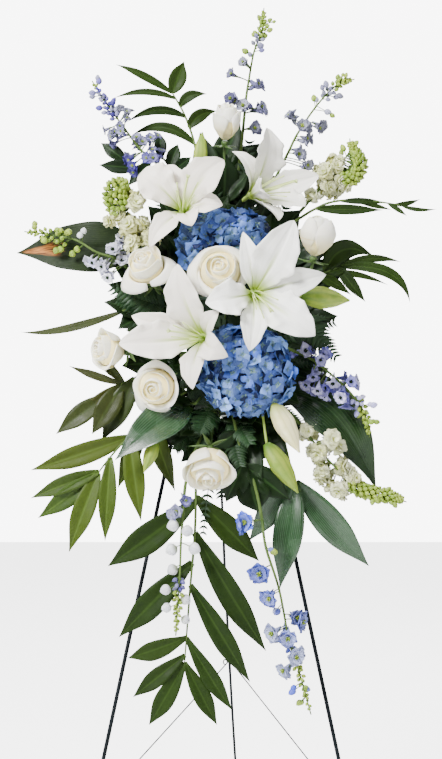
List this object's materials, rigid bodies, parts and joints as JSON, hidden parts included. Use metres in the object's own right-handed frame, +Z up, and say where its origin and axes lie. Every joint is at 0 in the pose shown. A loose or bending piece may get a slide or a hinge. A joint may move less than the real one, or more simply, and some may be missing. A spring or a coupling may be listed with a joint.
{
  "type": "standing funeral spray",
  "caption": "Standing funeral spray: lilies, roses, hydrangea, delphinium and snapdragon over palm fronds and broad leaves, in floral foam on a folding wire easel.",
  "frame": {"origin": "on the floor, under the middle of the whole part's bounding box", "axes": "+Z up, the front of the spray faces -Y, +X to the right as it is seen from the front"},
  "size_m": [0.6806, 0.6108, 1.4921],
  "materials": {
    "steel": "dark green-black enamel on wire, satin",
    "tray": "moulded, matte",
    "foam": "soaked floral foam, rough",
    "lily_petal": "waxy white petal, satin",
    "lily_stem": "fresh green stem, pistil and filaments",
    "green_bud": "closed bud, satin",
    "cream_bud": "closed bud, satin",
    "rose_petal": "creamy white petal, velvety",
    "rose_stem": "green stem and sepals",
    "hydrangea_floret": "blue florets, matte",
    "hydrangea_stem": "green stem, matte",
    "blue_floret": "blue florets on a green stem",
    "violet_floret": "violet florets on a green stem",
    "lavender_floret": "lavender florets on a green stem",
    "white_floret": "white to pale blue florets on a green stem",
    "cream_floret": "cream florets and green buds",
    "leaf": "green leaf, satin",
    "dark_leaf": "dark green leaf, glossy",
    "light_leaf": "yellow-green leaf, satin",
    "fern": "fern, matte"
  },
  "bodies": {
    "stand": {"easel_front_frame": "steel", "foam_tray": "tray", "foam_block": "foam", "lily_front_stem": "lily_stem", "lily_front_petals": "lily_petal", "lily_left_stem": "lily_stem", "lily_left_petals": "lily_petal", "lily_upper_left_stem": "lily_stem", "lily_upper_left_petals": "lily_petal", "lily_upper_right_stem": "lily_stem", "lily_upper_right_petals": "lily_petal", "lily_buds_lower_green": "green_bud", "lily_bud_lower_cream": "cream_bud", "lily_bud_lower_left": "green_bud", "rose_top_stem": "rose_stem", "rose_top_petals": "rose_petal", "rose_left_stem": "rose_stem", "rose_left_petals": "rose_petal", "rose_centre_stem": "rose_stem", "rose_centre_petals": "rose_petal", "rose_far_left_stem": "rose_stem", "rose_far_left_petals": "rose_petal", "rose_lower_left_stem": "rose_stem", "rose_lower_left_petals": "rose_petal", "rose_bottom_stem": "rose_stem", "rose_bottom_petals": "rose_petal", "rose_right_stem": "rose_stem", "rose_right_petals": "rose_petal", "hydrangea_upper_stem": "hydrangea_stem", "hydrangea_upper_head": "hydrangea_floret", "hydrangea_lower_stem": "hydrangea_stem", "hydrangea_lower_head": "hydrangea_floret", "delphinium_top": "blue_floret", "delphinium_upper_right": "blue_floret", "delphinium_upper_left": "violet_floret", "delphinium_left": "white_floret", "delphinium_right": "lavender_floret", "delphinium_lower_left": "white_floret", "delphinium_lower_right": "blue_floret", "snapdragon_left": "cream_floret", "snapdragon_upper_right": "cream_floret", "snapdragon_lower_right": "cream_floret", "palm_frond_top": "leaf", "palm_frond_upper_left": "leaf", "palm_frond_lower_left": "leaf", "palm_frond_bottom": "leaf", "palm_fan_right": "leaf", "ruscus_upper_right": "leaf", "leaves_lower_left": "light_leaf", "leaves_behind_top": "dark_leaf", "dark_leaves_lower": "dark_leaf", "glossy_leaves_lower_right": "leaf", "broad_leaf_left": "dark_leaf", "broad_leaf_right": "dark_leaf", "narrow_leaf_left": "dark_leaf", "glossy_leaf_centre": "leaf", "fern_right": "fern", "fern_left": "fern"},
    "back_leg": {"easel_back_leg": "steel"},
    "brace": {"easel_brace": "steel"}
  },
  "joints": [
    {"name": "back_leg_fold", "type": "hinge", "parent": "stand", "child": "back_leg", "pos_m": [-0.01913, -0.03018, 1.06664], "axis": [1, 0, 0], "range_deg": [-28.5, 0]},
    {"name": "brace_fold", "type": "hinge", "parent": "stand", "child": "brace", "pos_m": [-0.00913, -0.23639, 0.21832], "axis": [1, 0, 0], "range_deg": [0, 52.8]}
  ],
  "couplings": [
    {"joint": "brace_fold", "follows": "back_leg_fold", "ratio": -1.85}
  ]
}
